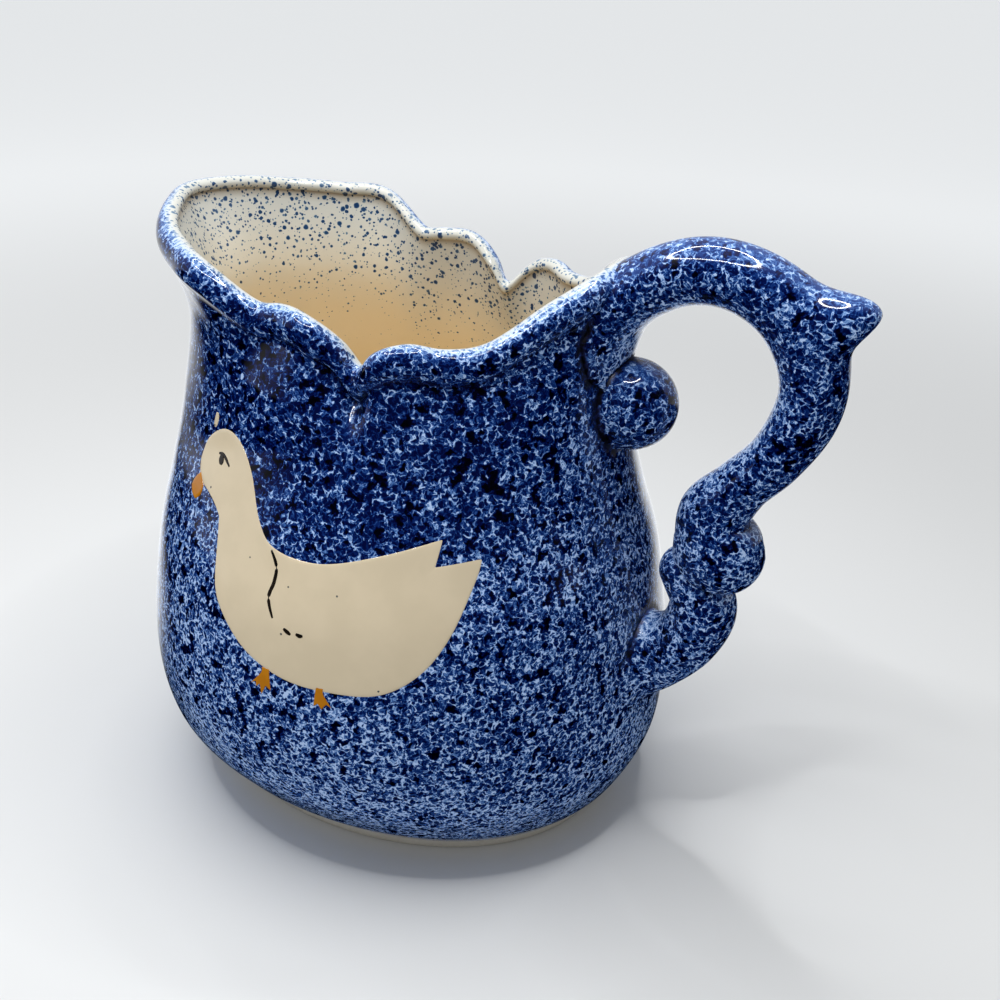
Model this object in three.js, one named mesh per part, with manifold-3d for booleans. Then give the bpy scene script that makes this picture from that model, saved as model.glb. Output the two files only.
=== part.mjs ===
// A glazed stoneware pitcher: an oval, full-bellied jug whose rolled rim is scalloped and runs out
// into a broad spout, with a scrolled handle and a duck laid on one side in coloured slip.
// Millimetres, +Z up. The spout points to -X, the handle to +X and the duck is on the -Y side.
import * as THREE from "three";
import { mergeVertices } from "three/addons/utils/BufferGeometryUtils.js";
import Module from "manifold-3d";

const wasm = await Module();
wasm.setup();

// Body: oval rings from the foot up. Each gives its rise above the ring below it and the reach
// from the axis to its front, its back and its sides.
const foot = { rise: 5, front: 66.6, back: 66.6, side: 51.6 };
const heel = { rise: 9, front: 72.5, back: 72.9, side: 60 };
const flank = { rise: 16, front: 76.2, back: 78.7, side: 71 };
const belly = { rise: 22, front: 76.8, back: 78, side: 75.5 };
const shoulder = { rise: 28, front: 74.7, back: 73.7, side: 71 };
const upper = { rise: 20, front: 71.7, back: 67.8, side: 62.5 };
const neck = { rise: 18, front: 69.6, back: 63.8, side: 54.5 };
// The throat lies this share of the way from the neck to the groove under the rim.
const throat = { share: 0.6, front: 67.3, back: 60.5, side: 50 };
const wall = 5;
const floorThickness = 6;
const coveReach = 14;
const coveRise = 8;

// Rim crest, from the handle round to the spout: degrees, reach from the axis, rise above the neck.
const rimRoot = { angle: 0, reach: 59, rise: 52.5 };
const rimSlope = { angle: 22, reach: 55, rise: 46.2 };
const backLobeHeel = { angle: 43, reach: 49.5, rise: 34.8 };
const backLobeDip = { angle: 52, reach: 47.8, rise: 34 };
const backLobeCrown = { angle: 63, reach: 47.6, rise: 35.2 };
const backLobeEdge = { angle: 73, reach: 46.6, rise: 32 };
const notch = { angle: 79, reach: 42, rise: 26.3 };
const notchRise = { angle: 86, reach: 42.3, rise: 32 };
const sideLobe = { angle: 97, reach: 45, rise: 37.8 };
const sideLobeCrown = { angle: 110, reach: 45.3, rise: 38.5 };
const spoutDip = { angle: 117, reach: 47.6, rise: 37.8 };
const spoutRise = { angle: 129, reach: 58, rise: 46.6 };
const spoutFlank = { angle: 142, reach: 62, rise: 48 };
const spoutSide = { angle: 155, reach: 67.2, rise: 49 };
const lipSide = { angle: 168, reach: 71.8, rise: 50.6 };
const lip = { angle: 180, reach: 76.2, rise: 50.6 };
const rimStations = [
  rimRoot, rimSlope, backLobeHeel, backLobeDip, backLobeCrown, backLobeEdge, notch, notchRise,
  sideLobe, sideLobeCrown, spoutDip, spoutRise, spoutFlank, spoutSide, lipSide, lip,
];
const beadThickness = 7.6;
const beadDrop = 9;
const grooveStep = 1.3;
// The bead's roll runs on past the horizontal by this angle on each side.
const beadLap = Math.PI / 4;

// Foot ring: bare clay under the glazed body.
const footInset = 1;
const footTaper = 1.4;
const footWidth = 8;

// Handle: stations of its centre line, out from the back of the neck and up from the rim's crest
// there, with the half thickness on the finger side and on the outside, and the half width.
const armRoot = { out: -13.8, up: -20, inner: 17, outer: 8, width: 15 };
const armRise = { out: -3.8, up: -10.2, inner: 9.6, outer: 8.2, width: 12.2 };
const armShoulder = { out: 6.2, up: -2.7, inner: 8.7, outer: 7.8, width: 9.8 };
const archFront = { out: 16.7, up: 0.7, inner: 8.4, outer: 8.3, width: 9 };
const archTop = { out: 27.2, up: 0.1, inner: 8.3, outer: 8.7, width: 8.8 };
const archBack = { out: 37.2, up: -4.5, inner: 8.6, outer: 9.2, width: 8.8 };
const thumbRest = { out: 44.2, up: -12.5, inner: 8.8, outer: 9.4, width: 8.8 };
const gripTop = { out: 47.2, up: -22.5, inner: 8.4, outer: 8.5, width: 8.8 };
const grip = { out: 46, up: -32.5, inner: 8.2, outer: 8, width: 8.6 };
const gripEnd = { out: 40.7, up: -44, inner: 7.5, outer: 7.2, width: 8.3 };
const waist = { out: 33.2, up: -53.5, inner: 7.6, outer: 7.4, width: 8.2 };
const knobTop = { out: 28.5, up: -62.5, inner: 10.6, outer: 8.8, width: 9 };
const knobSide = { out: 28.9, up: -70, inner: 11.7, outer: 12, width: 10.2 };
const knob = { out: 29.2, up: -74, inner: 12, outer: 12.8, width: 10.6 };
const handleStations = [
  armRoot, armRise, armShoulder, archFront, archTop, archBack, thumbRest,
  gripTop, grip, gripEnd, waist, knobTop, knobSide, knob,
];
const handleEnd = 12;
// Spur: the thumb rest that stands out of the arm, with its run up and its run down along the arm.
const spurAlong = 69;
const spurReach = 9.8;
const spurRunUp = 5.4;
const spurRunDown = 2.9;

// Upper scroll: the ball under the handle's root, placed like the handle's stations.
const ballOut = 1.5;
const ballUp = -37.7;
const ballRadius = 12.3;
const ballHalfWidth = 11;

// Lower scroll: the bracket from the handle's knob to the belly. Its first stations are placed
// like the handle's, the last two out from the back of the belly and up from the belly's height.
const bracketTop = { out: 20.7, up: -81.5, inner: 6.6, outer: 7, width: 7.5 };
const bracketBow = { out: 26.7, up: -90.5, inner: 8.6, outer: 9.7, width: 9.2 };
const bracketBend = { out: 24.2, up: -101.5, inner: 9, outer: 9.4, width: 9.5 };
const bracketFoot = { out: 2, up: 7.5, inner: 10, outer: 10.6, width: 10.5 };
const bracketSeat = { out: -8, up: 1, inner: 12, outer: 13, width: 13 };
const bracketStations = [bracketTop, bracketBow, bracketBend];
const bracketRoot = [bracketFoot, bracketSeat];
const bracketEnd = 6.5;

// Duck: slip pieces on the wall, drawn in side view, x along the pitcher and up from the duck's
// underside, which lies this far above the height of the belly.
const duckRise = 15.7;
const slipThickness = 0.4;
const duckBack = [
  [24, 35], [9, 31.3], [-4.5, 31.9], [-11, 36.8], [-17, 46.8],
  [-23, 52.8], [-29.5, 53.7], [-36, 49], [-38.4, 42],
];
const duckTailTip = [36.4, 39.3];
const duckTailNotch = [36.2, 33];
const duckThroat = [[-35.5, 37.8], [-30.5, 36.4], [-26.4, 34.2]];
const duckBreast = [
  [-24.2, 27.5], [-22.8, 20], [-19, 13.3], [-9, 5.2], [4, 0.8], [18, 0],
  [30, 1.1], [38.5, 7], [43.5, 16.5], [45.4, 28], [45.5, 34.3],
];
const billOutline = [
  [-38.4, 41], [-40.6, 37.5], [-41.4, 34.2], [-39.4, 33.2], [-37.2, 33.4], [-35.8, 37.4],
];
const eyePlace = [-29.2, 46.1];
const eyeRadius = 1.1;
const lidStroke = [[-31.4, 46.9], [-28.6, 47.2], [-25.9, 45.7]];
const lidWidth = 0.9;
const wingStroke = [[-5.2, 30.4], [-2.6, 27.8], [-2.2, 24.2], [-2.8, 20.2], [-0.8, 16]];
const wingDashes = [[[3, 14.2], [5.4, 13.2]], [[6.8, 13.7], [8.7, 13.7]]];
const wingWidth = 1;
const legHeight = 3.6;
const legWidth = 2.6;
const toeSpread = 3.6;
const toeDrop = 3.6;
const legPlaces = { duck_foot_front: [-1.8, 2], duck_foot_rear: [15.2, 0] };

// Shared clearance between pieces that meet on a curved face, and mesh densities.
const clearance = 0.3;
const aroundBody = 96;
const ringsPerStation = 3;
const beadRings = 7;
const insideStep = 2;
const aroundFoot = 60;
const aroundHandle = 20;
const handleStep = 3.4;
const spurStep = 1.2;
const outlineSteps = 2;
const brushSteps = 8;
const eyeSteps = 6;
// A ring's plan direction is taken over this many points to each side, so that the bead turns the
// notches softly.
const spreadSteps = 3;
// A rounded end has a ring at each of these shares of its quarter turn.
const capShares = [0.25, 0.5, 0.7, 0.88];
// Corners of one mesh that lie closer than this are the same corner.
const weldDistance = 0.001;

const glaze = new THREE.MeshStandardMaterial({ color: 0x24408a, roughness: 0.12, metalness: 0 });
const bareClay = new THREE.MeshStandardMaterial({ color: 0xe6dfd0, roughness: 0.8, metalness: 0 });
const creamSlip = new THREE.MeshStandardMaterial({ color: 0xe6dac2, roughness: 0.2, metalness: 0 });
const ochreSlip = new THREE.MeshStandardMaterial({ color: 0xc98422, roughness: 0.2, metalness: 0 });
const blackSlip = new THREE.MeshStandardMaterial({ color: 0x16130f, roughness: 0.2, metalness: 0 });

// Heights that the rises add up to.
const bodyStations = [foot, heel, flank, belly, shoulder, upper, neck];
const heightOf = new Map();
let summedRise = 0;
for (const station of bodyStations) {
  summedRise += station.rise;
  heightOf.set(station, summedRise);
}
const footTop = heightOf.get(foot);
const neckHeight = heightOf.get(neck);
const bellyHeight = heightOf.get(belly);
const floorTop = footTop + floorThickness;

// Smooth curve through stations by angle, level at both ends so that the two halves meet smoothly.
function alongRim(angle, key) {
  const count = rimStations.length;
  const slope = rimStations.map((station, i) => {
    if (i === 0 || i === count - 1) return 0;
    const [before, after] = [rimStations[i - 1], rimStations[i + 1]];
    const [run1, run2] = [station.angle - before.angle, after.angle - station.angle];
    const [rate1, rate2] = [(station[key] - before[key]) / run1, (after[key] - station[key]) / run2];
    return (rate1 * run2 + rate2 * run1) / (run1 + run2);
  });
  const next = rimStations.findIndex((station, i) => i > 0 && station.angle >= angle);
  const [a, b] = [rimStations[next - 1], rimStations[next]];
  const run = b.angle - a.angle;
  const t = (angle - a.angle) / run;
  const bend = t * t * (3 - 2 * t);
  const lead = t * (1 - t) * (1 - t) * run * slope[next - 1];
  const trail = t * t * (t - 1) * run * slope[next];
  return a[key] * (1 - bend) + b[key] * bend + lead + trail;
}

// Crest of the rim at an angle counted from the handle, the same on both sides.
function rimCrest(angle) {
  const turn = Math.abs(THREE.MathUtils.radToDeg(Math.atan2(Math.sin(angle), Math.cos(angle))));
  const folded = Math.min(turn, 180);
  return { reach: alongRim(folded, "reach"), height: neckHeight + alongRim(folded, "rise") };
}

// Reach of an oval ring at an angle: two half ellipses that share their sides.
function ovalReach(ring, angle) {
  const [c, s] = [Math.cos(angle), Math.sin(angle)];
  return 1 / Math.hypot(c / (c < 0 ? ring.front : ring.back), s / ring.side);
}

// Outside of the wall at one angle, from the foot to the groove under the rim.
function meridian(angle) {
  const points = bodyStations.map(
    (ring) => new THREE.Vector2(ovalReach(ring, angle), heightOf.get(ring)),
  );
  const crest = rimCrest(angle);
  const grooveHeight = crest.height - beadDrop;
  const throatHeight = neckHeight + throat.share * (grooveHeight - neckHeight);
  points.push(new THREE.Vector2(ovalReach(throat, angle), throatHeight));
  points.push(new THREE.Vector2(crest.reach + grooveStep, grooveHeight));
  return new THREE.SplineCurve(points);
}

const bodyAngles = Array.from({ length: aroundBody }, (_, i) => (i / aroundBody) * 2 * Math.PI);
const meridians = bodyAngles.map(meridian);
const bodySteps = (bodyStations.length + 1) * ringsPerStation;

function polar(angle, reach, height) {
  return new THREE.Vector3(reach * Math.cos(angle), reach * Math.sin(angle), height);
}

const outsideRings = Array.from({ length: bodySteps + 1 }, (_, step) =>
  meridians.map((curve, i) => {
    const { x: reach, y: height } = curve.getPoint(step / bodySteps);
    return polar(bodyAngles[i], reach, height);
  }),
);
const crestRing = bodyAngles.map((angle) => {
  const { reach, height } = rimCrest(angle);
  return polar(angle, reach, height);
});

// A ring moved outwards in plan, square to its own line taken over a few neighbours, and up.
function offsetRing(ring, outwards, upwards = 0) {
  return ring.map((point, i) => {
    const before = ring.at(i - spreadSteps);
    const after = ring[(i + spreadSteps) % ring.length];
    const normal = new THREE.Vector2(after.y - before.y, before.x - after.x).normalize();
    const moved = new THREE.Vector3(normal.x * outwards, normal.y * outwards, upwards);
    return moved.add(point);
  });
}

function levelRing(ring, height) {
  return ring.map((point) => new THREE.Vector3(point.x, point.y, height));
}

// Ring of the bead at an angle round its section: 0 is outside, 90 degrees is the crest.
function beadRing(turn) {
  const rise = (beadDrop / 2) * (Math.sin(turn) - 1);
  return offsetRing(crestRing, (beadThickness / 2) * Math.cos(turn), rise);
}

// Skin over rings of equal count. A loop joins the last ring to the first; otherwise each end is
// closed by a fan about its middle, or about the axis where that end is given as axial.
function loft(rings, { loop = false, axial = false } = {}) {
  const around = rings[0].length;
  const points = rings.flat();
  const index = [];
  for (let j = 0; j < (loop ? rings.length : rings.length - 1); j++) {
    for (let i = 0; i < around; i++) {
      const [low, high] = [j * around, ((j + 1) % rings.length) * around];
      const side = (i + 1) % around;
      index.push(low + i, low + side, high + side, low + i, high + side, high + i);
    }
  }
  if (!loop) {
    const lastStart = points.length - around;
    for (const [ring, start, flip] of [[rings[0], 0, true], [rings.at(-1), lastStart, false]]) {
      const middle = ring.reduce((sum, p) => sum.add(p), new THREE.Vector3()).divideScalar(around);
      if (axial) middle.set(0, 0, middle.z);
      const centre = points.push(middle) - 1;
      for (let i = 0; i < around; i++) {
        const [a, b] = [start + i, start + ((i + 1) % around)];
        index.push(centre, flip ? b : a, flip ? a : b);
      }
    }
  }
  const geometry = new THREE.BufferGeometry().setFromPoints(points);
  geometry.setIndex(index);
  geometry.computeVertexNormals();
  return geometry;
}

function solidOf(geometry) {
  const bare = geometry.clone();
  bare.deleteAttribute("normal");
  bare.deleteAttribute("uv");
  const merged = mergeVertices(bare, weldDistance);
  const vertProperties = new Float32Array(merged.attributes.position.array);
  const triVerts = new Uint32Array(merged.index.array);
  return new wasm.Manifold(new wasm.Mesh({ numProp: 3, vertProperties, triVerts }));
}

function geometryOf(solid) {
  const { vertProperties, triVerts } = solid.getMesh();
  const geometry = new THREE.BufferGeometry();
  geometry.setAttribute("position", new THREE.BufferAttribute(vertProperties, 3));
  geometry.setIndex(new THREE.BufferAttribute(triVerts, 1));
  geometry.computeVertexNormals();
  return geometry;
}

// Vessel: up the outside, over the bead, down the inside and over a coved floor.
function bodyGeometry() {
  const bead = Array.from({ length: beadRings }, (_, i) =>
    beadRing(-beadLap + ((Math.PI + 2 * beadLap) * i) / (beadRings - 1)),
  );
  const inside = outsideRings
    .filter((ring, step) => (bodySteps - step) % insideStep === 0 && ring[0].z > floorTop + coveRise)
    .reverse()
    .map((ring) => offsetRing(ring, -wall));
  const heelRing = outsideRings[ringsPerStation];
  const cove = [Math.PI / 4, Math.PI / 2].map((turn) =>
    levelRing(
      offsetRing(heelRing, -wall - coveReach * (1 - Math.cos(turn))),
      floorTop + coveRise * (1 - Math.sin(turn)),
    ),
  );
  return loft([...outsideRings, ...bead, ...inside, ...cove], { axial: true });
}

// Solid that fills the vessel out to a distance from its wall, up to the crest of the bead, and on
// upwards through the mouth.
function envelope(distance) {
  const lip = [-1, -0.5, 0, 0.5, 1, 1.5].map((share) => beadRing(share * beadLap));
  const overCrest = offsetRing(crestRing, 0, distance);
  const sides = [...outsideRings, ...lip].map((ring) => offsetRing(ring, distance));
  sides.push(overCrest);
  const above = levelRing(overCrest, 2 * neckHeight);
  return solidOf(loft([...sides, above], { axial: true }));
}

const clearBody = envelope(clearance);
const slipBody = envelope(clearance + slipThickness);

function footGeometry() {
  const angles = Array.from({ length: aroundFoot }, (_, i) => (i / aroundFoot) * 2 * Math.PI);
  const edge = angles.map((angle) => polar(angle, ovalReach(foot, angle), 0));
  return loft(
    [
      offsetRing(edge, -footInset - footTaper),
      offsetRing(edge, -footInset, footTop),
      offsetRing(edge, -footInset - footWidth, footTop),
      offsetRing(edge, -footInset - footWidth),
    ],
    { loop: true },
  );
}

// Rounded bar swept in the plane of symmetry. Its section is egg shaped: half an ellipse on the
// outside and half on the finger side. Rounded ends close over the given lengths.
function sweptBar(stations, { grow = 0, startCap = 0, endCap = 0, spur = null } = {}) {
  const flat = (list) => new THREE.CatmullRomCurve3(list, false, "catmullrom", 0.5);
  const centreLine = flat(stations.map((s) => new THREE.Vector3(s.x, 0, s.z)));
  const sizes = flat(stations.map((s) => new THREE.Vector3(s.inner, s.outer, s.width)));
  const length = centreLine.getLength();
  const marks = [];
  for (let along = 0; along < length; ) {
    marks.push(along);
    const nearSpur = spur && Math.abs(along - spur.along) < 3 * spur.runDown;
    along += nearSpur ? spurStep : handleStep;
  }
  marks.push(length);
  const section = (along, scale, shift) => {
    const t = centreLine.getUtoTmapping(along / length);
    const tangent = centreLine.getTangent(t);
    const normal = new THREE.Vector3(-tangent.z, 0, tangent.x);
    const { x: inner, y: outer, z: width } = sizes.getPoint(t);
    const run = spur ? (along < spur.along ? spur.runUp : spur.runDown) : 1;
    const rise = spur ? spur.reach * Math.exp(-(((along - spur.along) / run) ** 2)) : 0;
    const centre = centreLine.getPoint(t).addScaledVector(tangent, shift);
    return Array.from({ length: aroundHandle }, (_, i) => {
      const turn = (i / aroundHandle) * 2 * Math.PI;
      const half = Math.cos(turn) > 0 ? outer + rise : inner;
      const point = centre.clone().addScaledVector(normal, scale * (half + grow) * Math.cos(turn));
      point.y = -scale * (width + grow) * Math.sin(turn);
      return point;
    });
  };
  const capTurns = capShares.map((share) => (share * Math.PI) / 2);
  const start = capTurns.map((a) => section(0, Math.cos(a), -(startCap + grow) * Math.sin(a)));
  const end = capTurns.map((a) => section(length, Math.cos(a), (endCap + grow) * Math.sin(a)));
  const rings = marks.map((along) => section(along, 1, 0));
  return solidOf(loft([...(startCap ? start.reverse() : []), ...rings, ...(endCap ? end : [])]));
}

// Places on the back of the pitcher: the handle hangs from the rim, the bracket stands on the belly.
const handleHeight = rimCrest(0).height;
const onHandle = (s) => ({ ...s, x: neck.back + s.out, z: handleHeight + s.up });
const onBelly = (s) => ({ ...s, x: belly.back + s.out, z: bellyHeight + s.up });

const spur = { along: spurAlong, reach: spurReach, runUp: spurRunUp, runDown: spurRunDown };
const armStations = handleStations.map(onHandle);
const arm = sweptBar(armStations, { endCap: handleEnd, spur });
const clearArm = sweptBar(armStations, { grow: clearance, endCap: handleEnd, spur });

function ballGeometry() {
  const ball = new THREE.SphereGeometry(1, aroundHandle, aroundHandle / 2);
  ball.scale(ballRadius, ballHalfWidth, ballRadius);
  ball.translate(neck.back + ballOut, 0, handleHeight + ballUp);
  return geometryOf(solidOf(ball).subtract(clearBody).subtract(clearArm));
}

function bracketGeometry() {
  const stations = [...bracketStations.map(onHandle), ...bracketRoot.map(onBelly)];
  const bar = sweptBar(stations, { startCap: bracketEnd });
  return geometryOf(bar.subtract(clearBody).subtract(clearArm));
}

// Slip pieces: outlines in side view, pushed square through the wall and kept where they meet a
// thin skin just outside it.
const vector = ([x, y]) => new THREE.Vector2(x, y);

function prism(outline) {
  const block = new THREE.ExtrudeGeometry(new THREE.Shape(outline), {
    depth: belly.side * 2,
    bevelEnabled: false,
  });
  block.rotateX(Math.PI / 2);
  block.translate(0, 0, bellyHeight + duckRise);
  return solidOf(block);
}

const slipSkin = slipBody.subtract(clearBody);
const slipLayer = (shape) => geometryOf(shape.intersect(slipSkin));

// Outline moved out by a distance, for the clearance round an inlaid piece.
function grown(outline, distance) {
  const way = THREE.ShapeUtils.isClockWise(outline) ? -1 : 1;
  return outline.map((point, i) => {
    const before = outline.at(i - 1);
    const after = outline[(i + 1) % outline.length];
    const along = after.clone().sub(before).normalize();
    return new THREE.Vector2(point.x + way * along.y * distance, point.y - way * along.x * distance);
  });
}

// Brush stroke of even width along a curve, with blunt ends.
function stroke(points, width) {
  const curve = new THREE.SplineCurve(points.map(vector));
  const marks = Array.from({ length: brushSteps + 1 }, (_, i) => i / brushSteps);
  const edge = (side) =>
    marks.map((t) => {
      const along = curve.getTangent(t);
      const at = curve.getPoint(t);
      return new THREE.Vector2(at.x - side * along.y, at.y + side * along.x);
    });
  return [...edge(-width / 2), ...edge(width / 2).reverse()];
}

function duckOutline() {
  const shape = new THREE.Shape().moveTo(...duckTailTip);
  shape.splineThru(duckBack.map(vector));
  shape.splineThru(duckThroat.map(vector));
  shape.splineThru(duckBreast.map(vector));
  shape.lineTo(...duckTailNotch);
  const outline = shape.getPoints(outlineSteps);
  return outline.filter((point, i) => i === 0 || point.distanceTo(outline[i - 1]) > clearance);
}

function legOutline([x, top]) {
  const [ankle, sole] = [top - legHeight, top - legHeight - toeDrop];
  return [
    [x - legWidth / 2, top], [x - legWidth / 2, ankle], [x - toeSpread, sole + toeDrop / 3],
    [x - toeSpread / 4, ankle - toeDrop / 3], [x, sole], [x + toeSpread / 4, ankle - toeDrop / 3],
    [x + toeSpread, sole + toeDrop / 2], [x + legWidth / 2, ankle], [x + legWidth / 2, top],
  ].map(vector);
}

function eyeOutline(extra) {
  const round = new THREE.Shape().absarc(...eyePlace, eyeRadius + extra, 0, 2 * Math.PI);
  return prism(round.getPoints(eyeSteps)).add(prism(grown(stroke(lidStroke, lidWidth), extra)));
}

const strokes = { duck_wing_line: stroke(wingStroke, wingWidth) };
wingDashes.forEach((dash, i) => {
  strokes[`duck_wing_dash_${i + 1}`] = stroke(dash, wingWidth);
});
const inlays = { duck_bill: billOutline.map(vector) };
for (const [name, place] of Object.entries(legPlaces)) inlays[name] = legOutline(place);

let silhouette = prism(duckOutline()).subtract(eyeOutline(clearance));
for (const outline of [...Object.values(strokes), ...Object.values(inlays)]) {
  silhouette = silhouette.subtract(prism(grown(outline, clearance)));
}

const pitcher = new THREE.Group();

function addPart(name, geometry, material) {
  const mesh = new THREE.Mesh(geometry, material);
  mesh.name = name;
  pitcher.add(mesh);
}

addPart("body", bodyGeometry(), glaze);
addPart("foot_ring", footGeometry(), bareClay);
addPart("handle", geometryOf(arm.subtract(clearBody)), glaze);
addPart("upper_scroll", ballGeometry(), glaze);
addPart("lower_scroll", bracketGeometry(), glaze);
addPart("duck_silhouette", slipLayer(silhouette), creamSlip);
addPart("duck_eye", slipLayer(eyeOutline(0)), blackSlip);
for (const [name, outline] of Object.entries(strokes)) addPart(name, slipLayer(prism(outline)), blackSlip);
for (const [name, outline] of Object.entries(inlays)) addPart(name, slipLayer(prism(outline)), ochreSlip);

// The frame's origin is under the middle of the whole pitcher, handle included.
const middle = new THREE.Box3().setFromObject(pitcher).getCenter(new THREE.Vector3());
pitcher.position.set(-middle.x, -middle.y, 0);

export default pitcher;
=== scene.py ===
import bpy
import numpy as np
from mathutils import Matrix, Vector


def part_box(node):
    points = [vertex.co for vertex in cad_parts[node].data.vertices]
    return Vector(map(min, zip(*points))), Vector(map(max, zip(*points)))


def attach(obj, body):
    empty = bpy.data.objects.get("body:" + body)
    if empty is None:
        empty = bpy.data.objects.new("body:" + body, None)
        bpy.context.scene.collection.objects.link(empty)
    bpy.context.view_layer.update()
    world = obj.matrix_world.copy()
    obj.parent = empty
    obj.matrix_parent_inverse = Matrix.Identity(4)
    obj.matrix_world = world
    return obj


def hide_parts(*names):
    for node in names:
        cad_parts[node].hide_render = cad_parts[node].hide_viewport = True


# Glazed pitcher with a scalloped rim, a scrolled handle and a duck in slip.
# Its lengths are millimetres from its upright axis, and inFrame turns them into the frame's metres.
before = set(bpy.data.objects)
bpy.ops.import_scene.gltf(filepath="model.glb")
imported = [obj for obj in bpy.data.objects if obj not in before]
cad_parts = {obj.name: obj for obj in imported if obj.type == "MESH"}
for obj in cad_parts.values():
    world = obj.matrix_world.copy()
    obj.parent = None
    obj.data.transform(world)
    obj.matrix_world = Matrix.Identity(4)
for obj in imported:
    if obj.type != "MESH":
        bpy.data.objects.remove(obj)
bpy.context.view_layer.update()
scene = bpy.context.scene
scene.view_settings.view_transform = "Standard"

mm = 0.001
footLow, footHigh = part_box("foot_ring")
axisX = (footLow.x + footHigh.x) / 2  # where the belly's axis stands in the frame
weldSize = 1e-7  # metres within which two points are one


def inFrame(points):
    return np.asarray(points, float) * mm + np.array([axisX, 0, 0])


# Mesh over a grid: every cell is a face, points that coincide are one, so seams and poles close, and
# faces point outwards by the sign of the enclosed volume. Values by point become attributes, as does
# the upward share of the surface's direction.
def skin(name, grid, values=None):
    flat = inFrame(grid.reshape(-1, 3))
    keys = np.round(flat / weldSize).astype(np.int64)
    _, first, joined = np.unique(keys, axis=0, return_index=True, return_inverse=True)
    points = flat[first]
    index = joined.reshape(grid.shape[:2])
    quads = np.stack([index[:-1, :-1], index[:-1, 1:], index[1:, 1:], index[1:, :-1]], -1).reshape(-1, 4)
    same = quads == np.roll(quads, -1, axis=1)
    full = quads[same.sum(1) == 0]
    pinched = same.sum(1) == 1
    thirds = quads[pinched][~same[pinched]].reshape(-1, 3)
    corners = np.vstack([full[:, [0, 1, 2]], full[:, [0, 2, 3]], thirds])
    a, b, c = (points[corners[:, i]] for i in range(3))
    if np.einsum("ij,ij->", a, np.cross(b, c)) < 0:
        full, thirds = full[:, ::-1], thirds[:, ::-1]
    mesh = bpy.data.meshes.new(name)
    mesh.from_pydata(points.tolist(), [], full.tolist() + thirds.tolist())
    mesh.shade_smooth()
    layers = {key: value.reshape(-1)[first] for key, value in (values or {}).items()}
    normals = np.empty(3 * len(points), np.float32)
    mesh.vertices.foreach_get("normal", normals)
    layers["upturned"] = normals[2::3]
    for key, value in layers.items():
        layer = mesh.attributes.new(key, "FLOAT", "POINT")
        layer.data.foreach_set("value", value.astype(np.float32))
    piece = bpy.data.objects.new(name, mesh)
    scene.collection.objects.link(piece)
    print("piece", name, len(points), "points")
    return piece


def camelName(words):
    first, *rest = words.split("_")
    return first + "".join(word.capitalize() for word in rest)


# Piece in the place of a node, with its slot's material, and with the node's name unless one is given.
def addPiece(node, slot, grid, values=None, name=None):
    piece = skin(name or camelName(node), grid, values)
    piece.data.materials.append(materials[slot])
    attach(piece, "root")
    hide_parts(node)


# Wall of the vessel. Each oval ring is two half ellipses that share their sides.
wall = {
    "rings": [  # height, reach to the front, to the back and to the sides
        (5, 66.6, 66.6, 51.6), (14, 72.5, 72.9, 60), (30, 76.2, 78.7, 71), (52, 76.8, 78, 75.5),
        (80, 74.7, 73.7, 71), (100, 71.7, 67.8, 62.5), (118, 69.6, 63.8, 54.5),
    ],
    "throat": (67.3, 60.5, 50),
    "throatShare": 0.6,  # how far up from the last ring to the groove the throat lies
    "rim": [  # degrees from the handle, reach of the crest, height of the crest
        (0, 59, 169.8), (22, 55, 163.9), (43, 49.5, 152.8), (52, 47.8, 152), (63, 47.6, 153.2),
        (73, 46.6, 150), (79, 42, 144.3), (86, 42.3, 150), (97, 45, 155.8), (110, 45.3, 156.5),
        (117, 47.6, 155.8), (129, 58, 164.6), (142, 62, 166.2), (155, 67, 167.7), (168, 71.4, 169.6),
        (180, 75.4, 170),
    ],
    "beadDrop": 9,
    "beadOut": 3.8,  # half thickness of the roll outside the crest, and inside it
    "beadIn": 2.7,
    "beadDropInside": 3.8,
    "lipThinning": 0.8,  # the roll is thinner by this at the lip, within about lipSpan degrees
    "lipSpan": 28,
    "beadTurn": (-50, 230),  # degrees round the roll, from under its outside to under its inside
    "grooveStep": 1.3,
    "hollowDrop": 12.5,  # depth under the crest from which the wall runs out to the roll
    "hollowOut": 0.4,
    "thickness": 5,
    "floorTop": 11,
    "coveReach": 14,
    "coveRise": 8,
    "underShares": (0, 0.3, 0.6, 0.9, 0.985),  # rings under the foot, in shares of its reach
    "floorShares": (0.8, 0.55, 0.3, 0),  # rings of the floor, in shares of the cove's inner edge
    "around": 384,
    "rows": 132,
    "beadRows": 28,
    "insideRows": 84,
    "coveRows": 10,
    "halvings": 20,  # steps in which a height on the wall is found
    "normalSpread": 10,  # degrees to each side over which a ring's direction is taken
}
rings = np.array(wall["rings"], float)
rimKnots = np.array(wall["rim"], float)


def ovalReach(front, back, side, angle):
    across = np.cos(angle)
    length = np.where(across < 0, front, back)
    return 1 / np.hypot(across / length, np.sin(angle) / side)


# Rise from 0 to 1 that starts at a value and takes a run.
def ramp(value, start, run):
    return np.clip((value - start) / run, 0, 1)


def foldedDegrees(angle):
    return np.degrees(np.abs((angle + np.pi) % (2 * np.pi) - np.pi))


def beadOut(angle):
    lip = np.exp(-(((foldedDegrees(angle) - 180) / wall["lipSpan"]) ** 2))
    return wall["beadOut"] - wall["lipThinning"] * lip


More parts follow.
